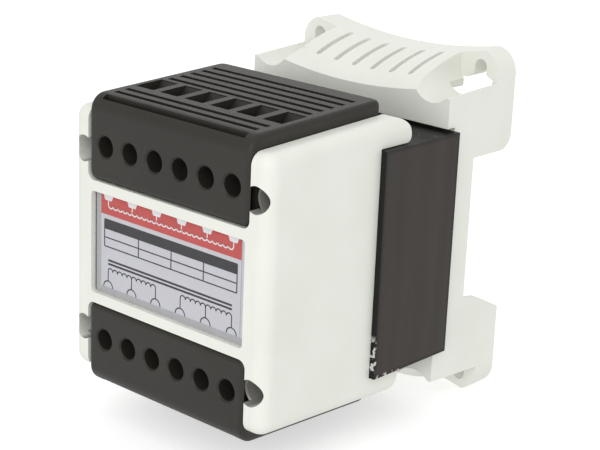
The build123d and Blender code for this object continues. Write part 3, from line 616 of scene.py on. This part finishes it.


# Grey rim: painted shade of the window's bevelled rim, laid on the film round the printed field.
# It is solid at the left and below, and three thin painted lines at the right for the rim's inner edges.
BEVEL_EDGE_LINE = 0.22 * MM
# Painted shade of the window's bevelled rim: a grey band at the left and below, and three thin grey lines
# at the right.
bevel_shade = print_ink("bevel_shade", (0.36, 0.36, 0.375), (0.39, 0.39, 0.405))
bevel_shade_parts = [
    ink_field(-label_half, -label_top, field_left, label_top),
    ink_field(field_left, -label_top, label_half, field_foot),
]
for x in (field_right, field_right + RIGHT_RIM / 2, label_half - BEVEL_EDGE_LINE):
    bevel_shade_parts.append(ink_field(x, field_foot, x + BEVEL_EDGE_LINE, label_top))
lay_ink(bevel_shade_parts, "label_bevel_shade", bevel_shade)

# Red ink: the second pass, a heading in one plain band along the upper edge of the film.
# It marks the mains side, below the upper row of terminals.
red_ink = print_ink("red_ink", (0.47, 0.066, 0.060), (0.50, 0.074, 0.067))
lay_ink([ink_field(field_left, heading_foot, field_right, label_top)], "label_heading", red_ink)

# White ink: the third pass, laid over the heading.
# It prints a tab at each upper terminal and hangs the primary winding's turns below them.
TAB_WIDTH = 3.6 * MM
TAB_HEIGHT = 1.6 * MM
TAB_TAPER = 0.62
LINE = 0.3 * MM
PRIMARY_DROP = 2.6 * MM
TURNS_PER_TAP = 5
TURN_RADIUS = TERMINAL_PITCH / (2 * TURNS_PER_TAP)
white_ink = print_ink("white_ink", (0.70, 0.70, 0.72), (0.74, 0.74, 0.76))
tab_foot = label_top - TAB_HEIGHT
primary_z = label_top - PRIMARY_DROP
tab = ink_field(terminal_x[0] - TAB_WIDTH / 2, tab_foot, terminal_x[0] + TAB_WIDTH / 2, label_top, layer=1)
bpy.ops.object.mode_set(mode="EDIT")
bpy.ops.mesh.select_all(action="DESELECT")
bpy.ops.object.mode_set(mode="OBJECT")
for vertex in tab.data.vertices:
    vertex.select = (tab.matrix_world @ vertex.co).z < tab_foot + TAB_HEIGHT / 2
bpy.ops.object.mode_set(mode="EDIT")
bpy.ops.transform.resize(
    value=(TAB_TAPER, 1.0, 1.0), center_override=(terminal_x[0], label_face, tab_foot)
)
bpy.ops.object.mode_set(mode="OBJECT")
tap = ink_field(terminal_x[0] - LINE / 2, primary_z, terminal_x[0] + LINE / 2, tab_foot, layer=1)
turn = ink_arch(terminal_x[0] + TURN_RADIUS, primary_z, TURN_RADIUS + LINE / 2, LINE, layer=1, hanging=True)
white_parts = [tab, tap, turn]
for x in terminal_x[1:]:
    step = (x - terminal_x[0], 0.0, 0.0)
    white_parts.append(copy_part(tab, step))
    white_parts.append(copy_part(tap, step))
turn_count = TURNS_PER_TAP * (TERMINAL_COUNT - 1)
for i in range(1, turn_count):
    white_parts.append(copy_part(turn, (2 * TURN_RADIUS * i, 0.0, 0.0)))
lay_ink(white_parts, "label_tabs", white_ink)

# Dark ink: the last pass, with ruled fields left empty below a solid row, and the secondary
# windings with their core bars and a half ring at each lower terminal. The same dark is laid as a
# thin line along the film's left and upper edges, a painted shadow of the gap round the window.
GAP_SHADOW_LINE = 0.3 * MM
TABLE_MARGIN = 1.2 * MM
ROW_HEIGHT = 2.2 * MM
ROW_COUNT = 3
COLUMN_SHARES = (0.0, 0.27, 0.52, 0.76, 1.0)
ARCH_RADIUS = 1.7 * MM
SECONDARY_LIFT = 4.0 * MM
CORE_BARS = (1.6 * MM, 2.5 * MM)
BAR = 0.5 * MM
dark_ink_and_gap_shadow = print_ink("dark_ink_and_gap_shadow", (0.022, 0.022, 0.024), (0.03, 0.03, 0.032))
# The first two fields are painted shadow: thin dark lines along the left and upper edges of the film, for
# the gap round the window.
diagram_and_shadow_parts = [
    ink_field(-label_half, -label_top, GAP_SHADOW_LINE - label_half, label_top, layer=1),
    ink_field(-label_half, label_top - GAP_SHADOW_LINE, label_half, label_top, layer=2),
]
table_left = field_left + TABLE_MARGIN
table_right = field_right - TABLE_MARGIN
table_top = heading_foot - TABLE_MARGIN
table_foot = table_top - ROW_COUNT * ROW_HEIGHT
for i in range(ROW_COUNT - 1):
    rule = table_foot + i * ROW_HEIGHT
    diagram_and_shadow_parts.append(ink_field(table_left, rule - LINE / 2, table_right, rule + LINE / 2))
header_foot = table_top - ROW_HEIGHT - LINE / 2
diagram_and_shadow_parts.append(ink_field(table_left, header_foot, table_right, table_top + LINE / 2))
for share in COLUMN_SHARES:
    rule = table_left + share * (table_right - table_left)
    diagram_and_shadow_parts.append(ink_field(rule - LINE / 2, table_foot, rule + LINE / 2, table_top, layer=1))
secondary_z = field_foot + SECONDARY_LIFT
arch = ink_arch(terminal_x[0], field_foot, ARCH_RADIUS, LINE)
tap = ink_field(
    terminal_x[0] - LINE / 2, field_foot + ARCH_RADIUS - LINE, terminal_x[0] + LINE / 2, secondary_z
)
turn = ink_arch(terminal_x[0] + TURN_RADIUS, secondary_z, TURN_RADIUS + LINE / 2, LINE)
diagram_and_shadow_parts += [arch, tap, turn]
for x in terminal_x[1:]:
    step = (x - terminal_x[0], 0.0, 0.0)
    diagram_and_shadow_parts.append(copy_part(arch, step))
    diagram_and_shadow_parts.append(copy_part(tap, step))
half_turns = TURNS_PER_TAP * (TERMINAL_COUNT // 2 - 1)
for i in range(1, half_turns):
    diagram_and_shadow_parts.append(copy_part(turn, (2 * TURN_RADIUS * i, 0.0, 0.0)))
for i in range(half_turns):
    step = TERMINAL_COUNT // 2 * TERMINAL_PITCH + 2 * TURN_RADIUS * i
    diagram_and_shadow_parts.append(copy_part(turn, (step, 0.0, 0.0)))
for lift in CORE_BARS:
    bar_foot = secondary_z + lift
    diagram_and_shadow_parts.append(ink_field(terminal_x[0], bar_foot, terminal_x[-1], bar_foot + BAR))
lay_ink(diagram_and_shadow_parts, "label_diagram_and_gap_shadow", dark_ink_and_gap_shadow)

# Label window: clear polycarbonate plate with a bevelled rim, pressed in over the label.
# It covers the whole film and keeps the print clean, and it is flush with the band but for a hair.
WINDOW_HAZE = (500.0, 500.0, 500.0)
clear_plastic, tree, shader = new_finish("clear_plastic")
haze = cloud(tree, place_in_object(tree, WINDOW_HAZE))
tree.links.new(spread(tree, haze, 0.06, 0.12), shader.inputs["Roughness"])
shader.inputs["Base Color"].default_value = (0.9, 0.92, 0.94, 1.0)
shader.inputs["Alpha"].default_value = 0.04
dress(clear_plastic, "label_window")

# Floor: plain white light table below the object, lit a little from inside.
# It takes the object's soft shadow but throws no light back on it.
FLOOR_SIDE = 6.0
FLOOR_GLOW = 0.55
floor_z = cad_box[0][2]
clear_selection()
bpy.ops.mesh.primitive_plane_add(size=FLOOR_SIDE, location=(0.0, 0.0, floor_z))
floor = bpy.context.object
floor.name = "floor"
floor_paint, tree, shader = new_finish("floor_paint")
shader.inputs["Base Color"].default_value = (0.6, 0.6, 0.6, 1.0)
shader.inputs["Roughness"].default_value = 0.9
shader.inputs["Emission Color"].default_value = (1.0, 1.0, 1.0, 1.0)
shader.inputs["Emission Strength"].default_value = FLOOR_GLOW
floor.data.materials.append(floor_paint)
floor.visible_diffuse = False

# Light: an even white surround with soft panels overhead, in front and behind, as in a light tent.
# The rear panel lights the back, and its grazing light brings out the louvres of the covers.
SURROUND = 0.85
LIGHT_AIM = (0.0, -0.04, 0.0)
world = bpy.data.worlds.new("light_tent")
bpy.context.scene.world = world
world.use_nodes = True
world.node_tree.nodes["Background"].inputs["Color"].default_value = (1.0, 1.0, 1.0, 1.0)
world.node_tree.nodes["Background"].inputs["Strength"].default_value = SURROUND


def hang_panel(name, place, side, energy):
    """A square soft panel that faces the object."""
    panel = bpy.data.lights.new(name, "AREA")
    panel.shape = "SQUARE"
    panel.size = side
    panel.energy = energy
    holder = bpy.data.objects.new(name, panel)
    holder.location = place
    aim = Vector(LIGHT_AIM) - holder.location
    holder.rotation_euler = aim.to_track_quat("-Z", "Y").to_euler()
    bpy.context.scene.collection.objects.link(holder)


hang_panel("overhead_panel", place=(0.1, -0.2, 1.2), side=1.2, energy=1.3)
hang_panel("front_panel", place=(0.55, -1.0, 0.5), side=0.9, energy=5.0)
hang_panel("rear_panel", place=(-0.85, 0.92, 0.42), side=0.9, energy=1.0)

# Camera: the photograph's view, from the front right and a little above, with a slight roll.
# Its place, turn and focal length were fitted to the object's corners in the photograph.
PHOTO_WIDTH = 600
FOCAL_PIXELS = 1638.25
SENSOR_WIDTH = 36.0
NEAREST = 0.01
AZIMUTH = math.radians(41.5)
ELEVATION = math.radians(17.6)
ROLL = math.radians(2.41)
CAMERA_PLACE = (0.2528, -0.3271, 0.1215)
camera = bpy.data.cameras.new("camera")
camera.sensor_width = SENSOR_WIDTH
camera.lens = FOCAL_PIXELS * SENSOR_WIDTH / PHOTO_WIDTH
camera.clip_start = NEAREST
camera_object = bpy.data.objects.new("camera", camera)
level_view = Euler((math.radians(90.0) - ELEVATION, 0.0, AZIMUTH)).to_matrix()
camera_object.rotation_euler = (level_view @ Matrix.Rotation(ROLL, 3, "Z")).to_euler()
camera_object.location = CAMERA_PLACE
bpy.context.scene.collection.objects.link(camera_object)
bpy.context.scene.camera = camera_object
bpy.context.scene.view_settings.view_transform = "Standard"
